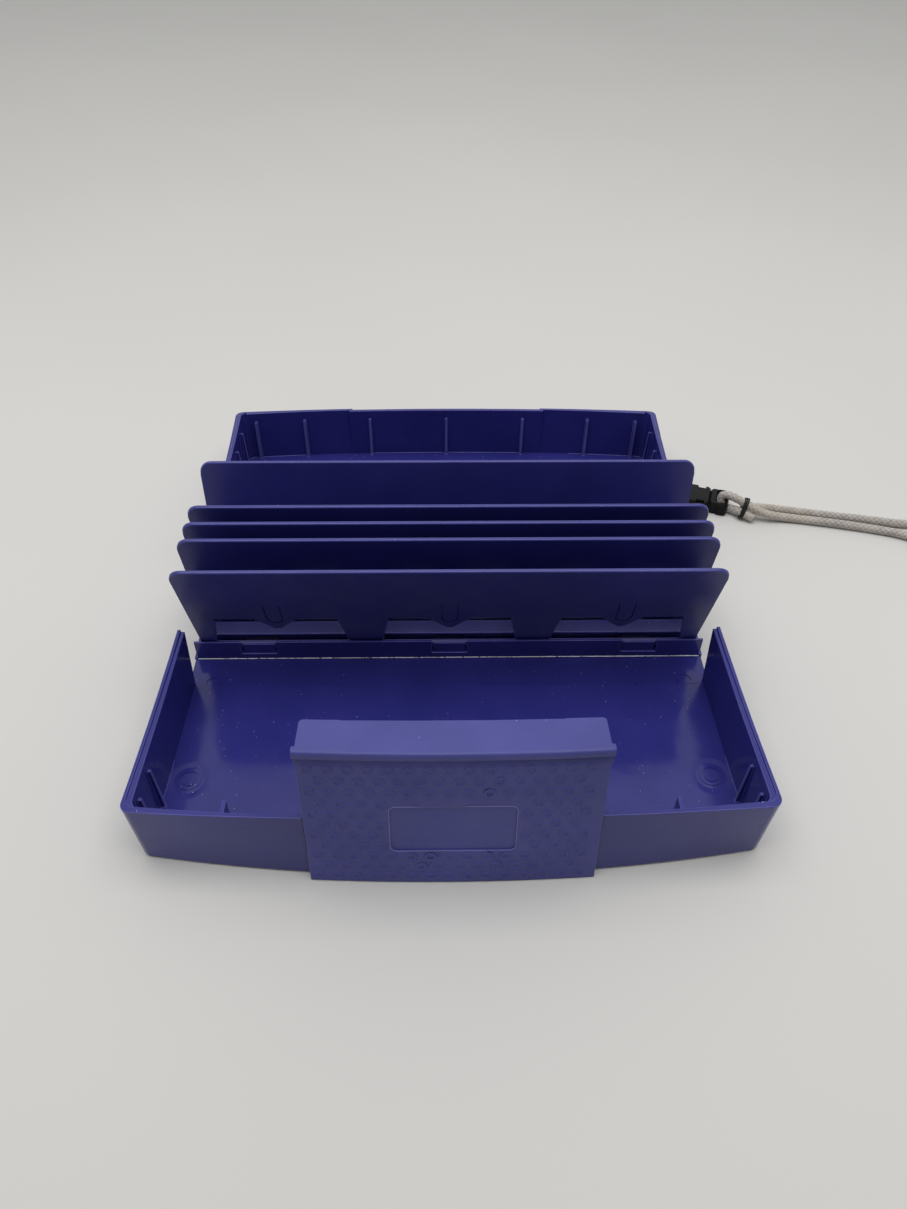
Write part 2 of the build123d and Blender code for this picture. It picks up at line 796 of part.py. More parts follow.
plug_start = socket_end + plug_gap
prong_side = socket_width / 2 - socket_wall - plug_fit - prong_thickness / 2
prong_height = socket_thickness - 2 * socket_wall - 2 * plug_fit
with BuildPart() as buckle_plug:
    with Locations(strap_location):
        with BuildPart(mode=Mode.PRIVATE) as plug:
            with BuildSketch(Plane.XY):
                with Locations(((plug_start + plug_end) / 2, 0)):
                    RectangleRounded(plug_end - plug_start, plug_width, buckle_corner_radius)
            extrude(amount=socket_thickness)
            flats = plug.faces().filter_by(Axis.Z)
            chamfer(flats.edges(), length=buckle_edge_chamfer)
            # narrow waist behind the socket
            waist_middle = (plug_start + eye_start) / 2 + plug_waist / 2
            for side in (1, -1):
                with Locations((waist_middle, side * plug_width / 2, socket_middle)):
                    Box(
                        2 * plug_waist, plug_waist, 2 * socket_thickness, mode=Mode.SUBTRACT
                    )
            # eye for the cord, open at the end under its raised bar
            with Locations(((eye_start + plug_end + cut_margin) / 2, 0, eye_bar_bottom / 2)):
                Box(plug_end - eye_start + cut_margin, eye_width, eye_bar_bottom, mode=Mode.SUBTRACT)
            with Locations(((eye_start + eye_end) / 2, 0, socket_middle)):
                Box(eye_end - eye_start, eye_width, 2 * socket_thickness, mode=Mode.SUBTRACT)
            with Locations(((eye_end + plug_end + cut_margin) / 2, 0, socket_thickness)):
                Box(
                    plug_end - eye_end + cut_margin,
                    eye_width,
                    2 * (socket_thickness - eye_bar_top),
                    mode=Mode.SUBTRACT,
                )
            prong_root = plug_start + 2 * root_overlap
            guide_tip = prong_tip + guide_set_back
            for side in (1, -1):
                with Locations(((prong_tip + prong_root) / 2, side * prong_side, socket_middle)):
                    Box(prong_root - prong_tip, prong_thickness, prong_height)
            with Locations(((guide_tip + prong_root) / 2, 0, socket_middle)):
                Box(prong_root - guide_tip, guide_width, prong_height)
        add(plug.part)
buckle_plug.part.label = "buckle_plug"
export_step(buckle_plug.part, "parts/buckle_plug.step")

# Wrist cord: one unbroken tube of straight runs and tangent arcs
cord_points = [Vector(*point) for point in cord_route]
cord_runs = [(b - a).length for a, b in zip(cord_points, cord_points[1:])]
cord_radii = []
for before, corner, after in zip(cord_points, cord_points[1:], cord_points[2:]):
    half_turn = radians((corner - before).get_angle(after - corner)) / 2
    shorter = min((corner - before).length, (after - corner).length)
    cord_radii.append(cord_bend_share * shorter / tan(half_turn))
print("cord runs:", [round(run, 1) for run in cord_runs])
print("cord radii:", [round(radius, 1) for radius in cord_radii])


def cord_tube(diameter):
    """The cord's path as a solid tube, along X from the eyelet's bar."""
    with BuildPart() as tube:
        with BuildLine() as path:
            FilletPolyline(*cord_points, radius=cord_radii)
        print("cord length:", round(path.wires()[0].length, 1))
        with BuildSketch(Plane(origin=path.wires()[0] @ 0, z_dir=path.wires()[0] % 0)):
            RegularPolygon(diameter / 2, cord_sides)
        sweep(path=path.wires()[0])
    return tube.part


with BuildPart() as strap_cord:
    with Locations(strap_location):
        add(cord_tube(cord_diameter))
strap_cord.part.label = "strap_cord"
export_step(strap_cord.part, "parts/strap_cord.step")

# Whipping: the band of thread round the bundled cords
with BuildPart() as strap_whipping:
    with Locations(strap_location):
        with BuildPart(mode=Mode.PRIVATE) as winding:
            with BuildSketch(Plane.YZ.offset(whip_start)):
                with Locations((whip_middle_across, whip_middle_height)):
                    Circle(whip_inner_radius + whip_thickness)
                    Circle(whip_inner_radius, mode=Mode.SUBTRACT)
            extrude(amount=whip_length)
            add(cord_tube(cord_diameter + 2 * cord_clearance), mode=Mode.SUBTRACT)
        add(winding.part)
strap_whipping.part.label = "strap_whipping"
export_step(strap_whipping.part, "parts/strap_whipping.step")
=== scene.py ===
"""Looks for the folding cartridge case: camera, studio, moulded plastic, braided cord, buckle."""

import math
import random

import bmesh
import bpy
from mathutils import Matrix, Vector


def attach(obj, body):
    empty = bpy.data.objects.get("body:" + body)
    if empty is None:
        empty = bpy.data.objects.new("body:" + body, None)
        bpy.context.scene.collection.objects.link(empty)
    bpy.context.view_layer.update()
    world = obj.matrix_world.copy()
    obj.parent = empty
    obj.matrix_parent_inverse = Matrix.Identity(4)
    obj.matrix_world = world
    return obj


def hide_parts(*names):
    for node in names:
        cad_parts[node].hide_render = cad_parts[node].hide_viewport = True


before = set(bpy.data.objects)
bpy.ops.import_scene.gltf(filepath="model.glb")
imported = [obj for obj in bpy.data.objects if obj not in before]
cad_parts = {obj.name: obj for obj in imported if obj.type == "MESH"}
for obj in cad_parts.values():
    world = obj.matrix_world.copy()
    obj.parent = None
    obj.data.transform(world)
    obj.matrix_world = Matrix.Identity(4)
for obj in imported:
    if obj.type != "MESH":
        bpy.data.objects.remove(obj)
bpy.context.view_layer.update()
MM = 0.001  # lengths are written in millimetres and taken into metres by this

# Sizes shared with the part's source, in millimetres and degrees
LATCH_AXIS = (0.0, -115.9, 0.55)
LATCH_LEAN = 7.0
LATCH_OUTER = 3.1
LATCH_OUTER_BOW = 1.3
LATCH_HALF_WIDTH = 44.0
LATCH_TOP = 56.85
RIDGE_HALF_WIDTH = 44.5
RIDGE_PROUD = 1.0
PLATE_WIDTH = 37.2
PLATE_HEIGHT = 19.7
PLATE_MIDDLE = 24.4
PLATE_CORNER = 2.0
MARK_X, MARK_Y = 88.3, 81.6
SPINE_END = 25.0
STRAP_TURN = -18.0
STRAP_BAR = (100.381, 77.0)
CORD_DIAMETER = 3.8

# Wrist cord: distance along the strap, distance across it, height
CORD_ROUTE = (
    (42.0, -6.6, 2.1),
    (36.6, -5.4, 3.8),
    (31.5, -2.2, 2.2),
    (26.5, -1.1, 2.0),
    (26.6, 0.8, 8.4),
    (37.0, -3.2, 7.45),
    (46.0, -4.4, 4.0),
    (57.0, -0.8, 1.9),
    (75.4, 1.3, 2.0),
    (93.5, 2.6, 1.9),
    (108.4, 2.6, 2.0),
    (124.0, -3.5, 1.9),
    (141.0, -4.5, 2.0),
    (154.0, 6.0, 1.9),
    (151.0, 21.0, 2.0),
    (138.0, 25.5, 1.9),
    (123.0, 17.5, 2.0),
    (108.6, 10.2, 1.9),
    (93.1, 8.8, 2.0),
    (75.5, 6.7, 1.9),
    (57.0, 4.7, 2.0),
    (46.5, 1.9, 3.3),
    (36.0, -0.9, 3.9),
)

# Camera, from a fit of the photograph: place in millimetres, angles in degrees, focal length
# in pixels of an image that is IMAGE_WIDTH wide
CAMERA_PLACE = (-3.56, -259.41, 255.21)
CAMERA_DOWN = 43.97
CAMERA_TURN = 1.21
CAMERA_ROLL = 0.52
CAMERA_FOCAL = 897.52
IMAGE_WIDTH = 907
SENSOR_WIDTH = 36
CLIP_START = 0.01


def srgb(red, green, blue):
    """A colour given as 0 to 255 display values, as the linear values that shaders take."""
    out = []
    for value in (red, green, blue):
        v = value / 255
        out.append(v / 12.92 if v <= 0.04045 else ((v + 0.055) / 1.055) ** 2.4)
    return (*out, 1.0)


def add_object(name, data):
    """A new object in the scene."""
    piece = bpy.data.objects.new(name, data)
    bpy.context.scene.collection.objects.link(piece)
    return piece


def add_camera():
    """The camera of the photograph."""
    down, turned, rolled = (math.radians(a) for a in (CAMERA_DOWN, CAMERA_TURN, CAMERA_ROLL))
    level = math.cos(down)
    forward = Vector((math.sin(turned) * level, math.cos(turned) * level, -math.sin(down)))
    level_right = Vector((math.cos(turned), -math.sin(turned), 0))
    level_up = level_right.cross(forward)
    right = level_right * math.cos(rolled) + level_up * math.sin(rolled)
    up = level_up * math.cos(rolled) - level_right * math.sin(rolled)
    data = bpy.data.cameras.new("camera")
    data.sensor_fit = "HORIZONTAL"
    data.sensor_width = SENSOR_WIDTH
    data.lens = CAMERA_FOCAL / IMAGE_WIDTH * SENSOR_WIDTH
    data.clip_start = CLIP_START
    camera = add_object("camera", data)
    turn = Matrix((right, up, -forward)).transposed().to_4x4()
    camera.matrix_world = Matrix.Translation(Vector(CAMERA_PLACE) * MM) @ turn
    bpy.context.scene.camera = camera


add_camera()
bpy.context.scene.view_settings.view_transform = "Standard"


# Places on the strap and on the latch
def strap_point(along, across, height):
    """A point on the strap, which leaves the eyelet's bar at an angle, in metres."""
    a = math.radians(STRAP_TURN)
    x = STRAP_BAR[0] + along * math.cos(a) - across * math.sin(a)
    y = STRAP_BAR[1] + along * math.sin(a) + across * math.cos(a)
    return Vector((x, y, height)) * MM


def strap_place(point):
    """The distance along and across the strap and the height of a point, in millimetres."""
    a = math.radians(STRAP_TURN)
    x, y = point.x / MM - STRAP_BAR[0], point.y / MM - STRAP_BAR[1]
    return (x * math.cos(a) + y * math.sin(a), y * math.cos(a) - x * math.sin(a), point.z / MM)


def latch_place(x, out, up_face):
    """A point on the latch: across it, out from its axis and up its face, in metres."""
    a = math.radians(LATCH_LEAN)
    y = LATCH_AXIS[1] - out * math.cos(a) + up_face * math.sin(a)
    z = LATCH_AXIS[2] + out * math.sin(a) + up_face * math.cos(a)
    return Vector((x, y, z)) * MM


def latch_face(x, half_width=LATCH_HALF_WIDTH):
    """How far out from its axis the latch's bowed face is, at a place across it."""
    return LATCH_OUTER - LATCH_OUTER_BOW * (x / half_width) ** 2


# Meshes
THIN_SIDES = 8  # of a tube as thin as a thread


def mesh_object(name, verts, faces, smooth=True):
    """A mesh as a new object."""
    mesh = bpy.data.meshes.new(name)
    mesh.from_pydata([tuple(v) for v in verts], [], faces)
    mesh.update()
    if smooth:
        mesh.polygons.foreach_set("use_smooth", [True] * len(mesh.polygons))
    return add_object(name, mesh)


def tube(name, points, around, radius_at):
    """A closed tube along points. radius_at gives the radius for a step and an angle."""
    verts, faces = [], []
    tangent = (points[1] - points[0]).normalized()
    side = tangent.cross(Vector((0, 0, 1))).normalized()
    for k, point in enumerate(points):
        ahead = points[min(k + 1, len(points) - 1)] - points[max(k - 1, 0)]
        tangent = ahead.normalized()
        side = (side - tangent * side.dot(tangent)).normalized()
        other = tangent.cross(side)
        for j in range(around):
            angle = 2 * math.pi * j / around
            r = radius_at(k, angle)
            verts.append(point + side * (r * math.cos(angle)) + other * (r * math.sin(angle)))
    for k in range(len(points) - 1):
        for j in range(around):
            a, b = k * around + j, k * around + (j + 1) % around
            faces.append((a, b, b + around, a + around))
    faces.append(tuple(reversed(range(around))))
    last = (len(points) - 1) * around
    faces.append(tuple(range(last, last + around)))
    return mesh_object(name, verts, faces)


def centre_line(controls):
    """Points along an open NURBS line through the space of the given control points."""
    curve = bpy.data.curves.new("guide", "CURVE")
    curve.dimensions = "3D"
    curve.resolution_u = 24
    spline = curve.splines.new("NURBS")
    spline.points.add(len(controls) - 1)
    for place, point in zip(spline.points, controls):
        place.co = (*point, 1.0)
    spline.order_u = 3
    spline.use_endpoint_u = True
    guide = add_object("guide", curve)
    bpy.context.view_layer.update()
    mesh = bpy.data.meshes.new_from_object(guide)
    line = [v.co.copy() for v in mesh.vertices]
    bpy.data.meshes.remove(mesh)
    bpy.data.objects.remove(guide)
    return line


def resample(line, step):
    """Points at an even spacing along a line, and the line's length."""
    total = sum((b - a).length for a, b in zip(line, line[1:]))
    count = max(2, round(total / step))
    out, i, walked = [line[0].copy()], 0, 0.0
    for k in range(1, count):
        target = total * k / count
        while i < len(line) - 2 and walked + (line[i + 1] - line[i]).length < target:
            walked += (line[i + 1] - line[i]).length
            i += 1
        run = (line[i + 1] - line[i]).length
        out.append(line[i].lerp(line[i + 1], (target - walked) / run if run else 0))
    out.append(line[-1].copy())
    return out, total


# Wrist cord, with its braid in relief
CORD_SIDES = 36
CORD_SPACING = 0.32
BRAID_STRANDS = 5
BRAID_PITCH = 12.0
BRAID_DEPTH = 0.17
BRAID_CUT = 0.7
BRAID_FLOOR = -0.5

cord_controls = [strap_point(*p) for p in CORD_ROUTE]
cord_line, cord_length = resample(centre_line(cord_controls), CORD_SPACING * MM)
cord_step = cord_length / (len(cord_line) - 1)


def braid_radius(k, angle):
    """The surface of a round braid: strands that wind opposite ways, over and under each other."""
    run = 2 * math.pi * k * cord_step / (BRAID_PITCH * MM)
    over = 0.5 * math.sin(BRAID_STRANDS * run)
    one = 0.5 * math.cos(BRAID_STRANDS * (angle - run)) + over
    two = 0.5 * math.cos(BRAID_STRANDS * (angle + run)) - over
    cut = BRAID_CUT * (1 - max(BRAID_FLOOR, one, two))
    return (CORD_DIAMETER / 2 - BRAID_DEPTH * cut) * MM


cord = tube("wrist_cord", cord_line, CORD_SIDES, braid_radius)
cord_uv = cord.data.uv_layers.new(name="along")
for polygon in cord.data.polygons:
    for loop in polygon.loop_indices:
        step, corner = divmod(cord.data.loops[loop].vertex_index, CORD_SIDES)
        cord_uv.data[loop].uv = (corner / CORD_SIDES, step * cord_step / MM)
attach(cord, "strap_plug")
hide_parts("strap_cord")


# Shader nodes. Scales of noise and of cells are per metre.
NOISE_ROUGHNESS = 0.55
MIX_FIRST, MIX_SECOND, MIX_RESULT = 6, 7, 2  # the colour sockets of a mix node


def node_material(name):
    """A new material, its node tree and its shader."""
    mat = bpy.data.materials.new(name)
    mat.use_nodes = True
    tree = mat.node_tree
    return mat, tree, tree.nodes["Principled BSDF"]


def set_material(piece, material):
    """Gives a piece one material all over."""
    piece.data.materials.clear()
    piece.data.materials.append(material)


def add_node(tree, kind, **values):
    """A node with the named inputs set."""
    node = tree.nodes.new(kind)
    for key, value in values.items():
        node.inputs[key].default_value = value
    return node


def coordinates(tree, kind):
    """One output of a texture coordinate node."""
    return tree.nodes.new("ShaderNodeTexCoord").outputs[kind]


def axes(tree, vector):
    """The three numbers of a vector."""
    node = tree.nodes.new("ShaderNodeSeparateXYZ")
    tree.links.new(vector, node.inputs[0])
    return node.outputs


def math_node(tree, operation, first, second=None):
    """The result of a sum on sockets or numbers."""
    node = tree.nodes.new("ShaderNodeMath")
    node.operation = operation
    for socket, value in zip(node.inputs, (first, second)):
        if value is None:
            continue
        if isinstance(value, (int, float)):
            socket.default_value = value
        else:
            tree.links.new(value, socket)
    return node.outputs[0]


def noise(tree, coords, scale, detail):
    """Noise, 0 to 1."""
    values = {"Scale": scale, "Detail": detail, "Roughness": NOISE_ROUGHNESS}
    node = add_node(tree, "ShaderNodeTexNoise", **values)
    tree.links.new(coords, node.inputs["Vector"])
    return node.outputs["Fac"]


def spread(tree, value, low, high, to_low=0.0, to_high=1.0):
    """A value that goes from to_low to to_high while the given one goes from low to high."""
    node = tree.nodes.new("ShaderNodeMapRange")
    tree.links.new(value, node.inputs["Value"])
    ends = {"From Min": low, "From Max": high, "To Min": to_low, "To Max": to_high}
    for key, number in ends.items():
        node.inputs[key].default_value = number
    return node.outputs[0]


def mix_colour(tree, factor, first, second):
    """A colour between two, each a socket or a fixed colour."""
    node = tree.nodes.new("ShaderNodeMix")
    node.data_type = "RGBA"
    tree.links.new(factor, node.inputs["Factor"])
    for socket, value in ((node.inputs[MIX_FIRST], first), (node.inputs[MIX_SECOND], second)):
        if isinstance(value, tuple):
            socket.default_value = value
        else:
            tree.links.new(value, socket)
    return node.outputs[MIX_RESULT]


def bump_node(tree, height, distance, strength=1.0):
    """A bump node for a height."""
    node = add_node(tree, "ShaderNodeBump", Strength=strength, Distance=distance)
    tree.links.new(height, node.inputs["Height"])
    return node


# Moulded plastic
GRAIN_DEPTH = 0.2
WAVE_HEIGHT = 50.0  # of the slow waves in a surface, in grains
DUST_CELLS = 950.0
DUST_SIZE = 0.125  # the radius of the largest specks, in cells
DUST_LEAST, DUST_MOST = 0.05, 0.34  # share of the cells with a speck
DUST_COLOUR = (206, 205, 212)
SINK_DEPTH = 0.17
SINK_RADIUS = 5.2
SINK_WIDTH = 2.2
SINK_LEVEL = 2.1
PLASTIC_IOR = 1.49


def dust_on(tree, coords, amount):
    """1 on sparse specks of uneven size on upward faces, thicker in some areas."""
    cells = add_node(tree, "ShaderNodeTexVoronoi", Scale=DUST_CELLS)
    tree.links.new(coords, cells.inputs["Vector"])
    chance = tree.nodes.new("ShaderNodeSeparateColor")
    tree.links.new(cells.outputs["Color"], chance.inputs[0])
    share = (DUST_LEAST * amount, DUST_MOST * amount)
    areas = spread(tree, noise(tree, coords, 34.0, 3.0), 0.38, 0.68, *share)
    chosen = math_node(tree, "LESS_THAN", chance.outputs[0], areas)
    size = math_node(tree, "MULTIPLY", chance.outputs[1], DUST_SIZE)
    specks = math_node(tree, "LESS_THAN", cells.outputs["Distance"], size)
    mask = math_node(tree, "MULTIPLY", specks, chosen)
    upward = axes(tree, coordinates(tree, "Normal"))[2]
    return math_node(tree, "MULTIPLY", mask, spread(tree, upward, 0.3, 0.6))


def sink_marks(tree, coords, places):
    """The normal of a surface that sinks in shallow rings about the given places."""
    hollow = None
    for place in places:
        away = tree.nodes.new("ShaderNodeVectorMath")
        away.operation = "DISTANCE"
        tree.links.new(coords, away.inputs[0])
        away.inputs[1].default_value = Vector(place) * MM
        off_ring = math_node(tree, "SUBTRACT", away.outputs["Value"], SINK_RADIUS * MM)
        off_ring = math_node(tree, "ABSOLUTE", off_ring)
        moat = spread(tree, off_ring, 0.0, SINK_WIDTH * MM, -1.0, 0.0)
        hollow = math_node(tree, "ADD", hollow, moat) if hollow else moat
    return bump_node(tree, hollow, SINK_DEPTH * MM).outputs[0]


def moulded_plastic(name, deep, pale, gloss, grain, dust, sinks=()):
    """Moulded plastic with a faint flow tint, handling marks, fine grain and loose dust."""
    mat, tree, shader = node_material(name)
    coords = coordinates(tree, "Object")
    flow = spread(tree, noise(tree, coords, 28.0, 4.0), 0.35, 0.68)
    colour = mix_colour(tree, flow, srgb(*deep), srgb(*pale))
    dust_mask = dust_on(tree, coords, dust)
    colour = mix_colour(tree, dust_mask, colour, srgb(*DUST_COLOUR))
    tree.links.new(colour, shader.inputs["Base Color"])
    # roughness: smudges, fine scratches along X, and dust
    smudge = spread(tree, noise(tree, coords, 60.0, 5.0), 0.3, 0.7, gloss - 0.05, gloss + 0.07)
    stretch = add_node(tree, "ShaderNodeMapping", Scale=(1.0, 14.0, 14.0))
    tree.links.new(coords, stretch.inputs["Vector"])
    streaks = noise(tree, stretch.outputs[0], 190.0, 2.0)
    scratches = spread(tree, streaks, 0.66, 0.74, 0.0, 0.12)
    rough = math_node(tree, "ADD", smudge, scratches)
    rough = math_node(tree, "ADD", rough, math_node(tree, "MULTIPLY", dust_mask, 0.3))
    tree.links.new(rough, shader.inputs["Roughness"])
    # relief: fine grain, slow waves, and sink marks under the grain
    waves = math_node(tree, "MULTIPLY", noise(tree, coords, 45.0, 2.0), WAVE_HEIGHT)
    height = math_node(tree, "ADD", noise(tree, coords, 1500.0, 2.0), waves)
    bump = bump_node(tree, height, GRAIN_DEPTH * MM, grain)
    if sinks:
        tree.links.new(sink_marks(tree, coords, sinks), bump.inputs["Normal"])
    tree.links.new(bump.outputs[0], shader.inputs["Normal"])
    shader.inputs["IOR"].default_value = PLASTIC_IOR
    return mat


DEEP, PALE = (41, 42, 114), (48, 48, 126)
LATCH_DEEP, LATCH_PALE = (59, 61, 131), (68, 70, 143)
SINKS = [(x, y, SINK_LEVEL) for x in (-MARK_X, MARK_X) for y in (-MARK_Y, MARK_Y)]
case_plastic = moulded_plastic(
    "case_plastic", DEEP, PALE, gloss=0.15, grain=0.04, dust=1.0, sinks=SINKS
)
# lighter colour for the rounded edges: a painted highlight where edges catch the light; its dust
# is real
edge_highlight_plastic = moulded_plastic(
    "edge_highlight_plastic", (60, 60, 138), (72, 72, 152), gloss=0.3, grain=0.1, dust=0.6
)
# much lighter colour for the fronts of the ribs: a painted highlight
rib_highlight_plastic = moulded_plastic(
    "rib_highlight_plastic", (88, 87, 158), (102, 100, 172), gloss=0.3, grain=0.1, dust=0.3
)
leaf_plastic = moulded_plastic("leaf_plastic", DEEP, PALE, gloss=0.38, grain=0.05, dust=0.1)
latch_plastic = moulded_plastic(
    "latch_plastic", LATCH_DEEP, LATCH_PALE, gloss=0.5, grain=0.16, dust=0.1
)
ring_plastic = moulded_plastic(
    "ring_plastic", LATCH_DEEP, LATCH_PALE, gloss=0.5, grain=0.03, dust=0.1
)
# pale colour of the bead round the label plate: a painted highlight along the recess's edge; its
# dust is real
plate_edge_highlight = moulded_plastic(
    "plate_edge_highlight", (128, 124, 180), (108, 106, 166), gloss=0.5, grain=0.2, dust=0.3
)
dark_thread = moulded_plastic(
    "dark_thread", (16, 16, 18), (26, 26, 28), gloss=0.6, grain=0.4, dust=0.3
)
buckle_plastic = moulded_plastic(
    "buckle_plastic", (12, 12, 15), (18, 18, 21), gloss=0.22, grain=0.08, dust=0.4
)
buckle_shader = buckle_plastic.node_tree.nodes["Principled BSDF"]
buckle_shader.inputs["Specular IOR Level"].default_value = 0.15


def woven(name, first, second, soil):
    """Braided yarn, darker in the hollows between the strands and lighter on their crowns as a
    painted shade of the braid's relief; soiled in places, with fuzz in the bump.
    """
    mat, tree, shader = node_material(name)
    place = coordinates(tree, "Object")
    around, along, _ = axes(tree, coordinates(tree, "UV"))
    # painted shade: the colour follows the braid's relief, darker where the strands dip
    turn = math_node(tree, "MULTIPLY", around, 2 * math.pi * BRAID_STRANDS)
    run = math_node(tree, "MULTIPLY", along, 2 * math.pi * BRAID_STRANDS / BRAID_PITCH)
    one = math_node(tree, "COSINE", math_node(tree, "SUBTRACT", turn, run))
    two = math_node(tree, "COSINE", math_node(tree, "ADD", turn, run))
    both = math_node(tree, "MULTIPLY", math_node(tree, "ADD", one, two), 0.25)
    fuzz = noise(tree, place, 3000.0, 3.0)
    tone = math_node(tree, "ADD", both, 0.5)
    tone = math_node(tree, "ADD", tone, math_node(tree, "MULTIPLY", fuzz, 0.35))
    uneven = spread(tree, noise(tree, place, 260.0, 3.0), 0.35, 0.65, -0.22, 0.22)
    tone = spread(tree, math_node(tree, "ADD", tone, uneven), 0.25, 1.1)
    colour = mix_colour(tree, tone, srgb(*first), srgb(*second))
    soiled = spread(tree, noise(tree, place, 45.0, 2.0), 0.4, 0.65, 0.0, 0.45)
    colour = mix_colour(tree, soiled, colour, srgb(*soil))
    tree.links.new(colour, shader.inputs["Base Color"])
    bump = bump_node(tree, fuzz, GRAIN_DEPTH * MM, 0.5)
    tree.links.new(bump.outputs[0], shader.inputs["Normal"])
    shader.inputs["Roughness"].default_value = 0.85
    shader.inputs["Sheen Weight"].default_value = 0.25
    return mat


# the first colour is the painted shade in the braid's hollows, the second that of its crowns
cord_yarn = woven("cord_yarn", (146, 140, 134), (190, 184, 178), (184, 174, 156))

# Mouldings from the CAD, with their edges slightly rounded. Angles in degrees.
WELD = 1e-6  # in metres
FLAT_UNDER = 0.6
ROUND_OVER = 35
SHARP_OVER = 34
ROUND_SEGMENTS = 3
RIB_WIDTH = (0.4, 1.0)
RIB_HEIGHT = (15, 22)
RIB_TILT = 0.35  # the most that the normal of a rib's front points up or down
EDGE_HIGHLIGHT_SLOT, RIB_HIGHLIGHT_SLOT = 1, 2  # places of the painted highlights in the list of materials


def is_rib_front(face):
    """True for the narrow upright strip along the front of a rib."""
    if abs(face.normal.z) > RIB_TILT:
        return False
    across = Vector((-face.normal.y, face.normal.x, 0.0)).normalized()
    widths = [v.co.dot(across) / MM for v in face.verts]
    heights = [v.co.z / MM for v in face.verts]
    narrow = RIB_WIDTH[0] < max(widths) - min(widths) < RIB_WIDTH[1]
    return narrow and RIB_HEIGHT[0] < max(heights) - min(heights) < RIB_HEIGHT[1]


def softened(node, body, material, width, edge=None, reach=1.9, nose=None):
    """A copy of a CAD node with its edges rounded by width, which stands for the node.

    An edge is rounded only where all edges that it meets are longer than reach times the width.
    edge is the material of the rounded edges, lighter than the rest as a painted highlight, and
    nose that of the ribs' fronts, also a painted highlight.
    """
    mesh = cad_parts[node].data.copy()
    mesh.name = node + "_moulded"
    work = bmesh.new()
    work.from_mesh(mesh)
    bmesh.ops.remove_doubles(work, verts=work.verts, dist=WELD)
    flat = math.radians(FLAT_UNDER)
    bmesh.ops.dissolve_limit(work, angle_limit=flat, verts=work.verts, edges=work.edges)
    bmesh.ops.connect_verts_concave(work, faces=work.faces)
    rounded = []
    for line in work.edges:
        if len(line.link_faces) != 2 or line.calc_face_angle() < math.radians(ROUND_OVER):
            continue
        nearby = [near.calc_length() for end in line.verts for near in end.link_edges]
        if min(nearby) > reach * width * MM:
            rounded.append(line)
    bmesh.ops.bevel(
        work,
        geom=rounded,
        offset=width * MM,
        offset_type="OFFSET",
        segments=ROUND_SEGMENTS,
        profile=0.5,
        affect="EDGES",
        clamp_overlap=False,
        material=EDGE_HIGHLIGHT_SLOT if edge else -1,
        miter_outer="ARC",
    )
    for line in work.edges:
        if len(line.link_faces) == 2 and line.calc_face_angle(0.0) > math.radians(SHARP_OVER):
            line.smooth = False
    for face in work.faces:
        face.smooth = True
        # the ribs' fronts take a lighter material, a painted highlight
        if nose and is_rib_front(face):
            face.material_index = RIB_HIGHLIGHT_SLOT
    # the materials, with the painted highlights, go in before the faces do: a new list would take
    # every face to the first one
    mesh.materials.clear()
    for base_or_highlight in (material, edge, nose):
        if base_or_highlight:
            mesh.materials.append(base_or_highlight)
    work.to_mesh(mesh)
    work.free()
    piece = add_object(node + "_moulded", mesh)
    piece.modifiers.new("normals", "WEIGHTED_NORMAL").keep_sharp = True
    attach(piece, body)
    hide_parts(node)


for tray in ("front_tray", "rear_tray"):
    softened(
        tray, tray, case_plastic,
        width=0.25, edge=edge_highlight_plastic, reach=1.2, nose=rib_highlight_plastic,
    )
softened("spine", "spine", case_plastic, width=0.28, edge=edge_highlight_plastic)
for number in range(1, 6):
    leaf = f"leaf_{number}"
    softened(leaf, leaf, leaf_plastic, width=0.5, edge=edge_highlight_plastic, reach=1.05)
softened(
    "latch", "latch", latch_plastic, width=0.3, edge=edge_highlight_plastic, reach=1.0
)
softened("buckle_socket", "strap_socket", buckle_plastic, width=0.2)
softened("buckle_plug", "strap_plug", buckle_plastic, width=0.2)
set_material(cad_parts["tether_loop"], dark_thread)

# Rings in relief on the latch's face, in staggered rows that leave the label plate free
RING_ACROSS, RING_UP = 5.7, 4.7
RING_RADIUS, RING_BAND, RING_HEIGHT = 1.4, 0.45, 0.3
RING_SIDES, RING_STEPS = 20, 4
RING_LOWEST, RING_HIGHEST = 2.3, 49.5
RING_MARGIN_LEFT, RING_MARGIN_RIGHT = 3.0, 2.6
RING_FROM_PLATE = 1.9
RING_SUNK = 0.03


def add_ring(verts, faces, x, up_face):
    """A half-round ring on the latch's face."""
    start, stride = len(verts), RING_STEPS + 1
    for i in range(RING_SIDES):
        a = 2 * math.pi * i / RING_SIDES
        for k in range(stride):
            b = math.pi * k / RING_STEPS
            r = RING_RADIUS - RING_BAND * math.cos(b)
            across = x + r * math.cos(a)
            out = latch_face(across) - RING_SUNK + RING_HEIGHT * math.sin(b)
            verts.append(latch_place(across, out, up_face + r * math.sin(a)))
    for i in range(RING_SIDES):
        for k in range(RING_STEPS):
            here = start + i * stride + k
            there = start + (i + 1) % RING_SIDES * stride + k
            faces.append((here, here + 1, there + 1, there))


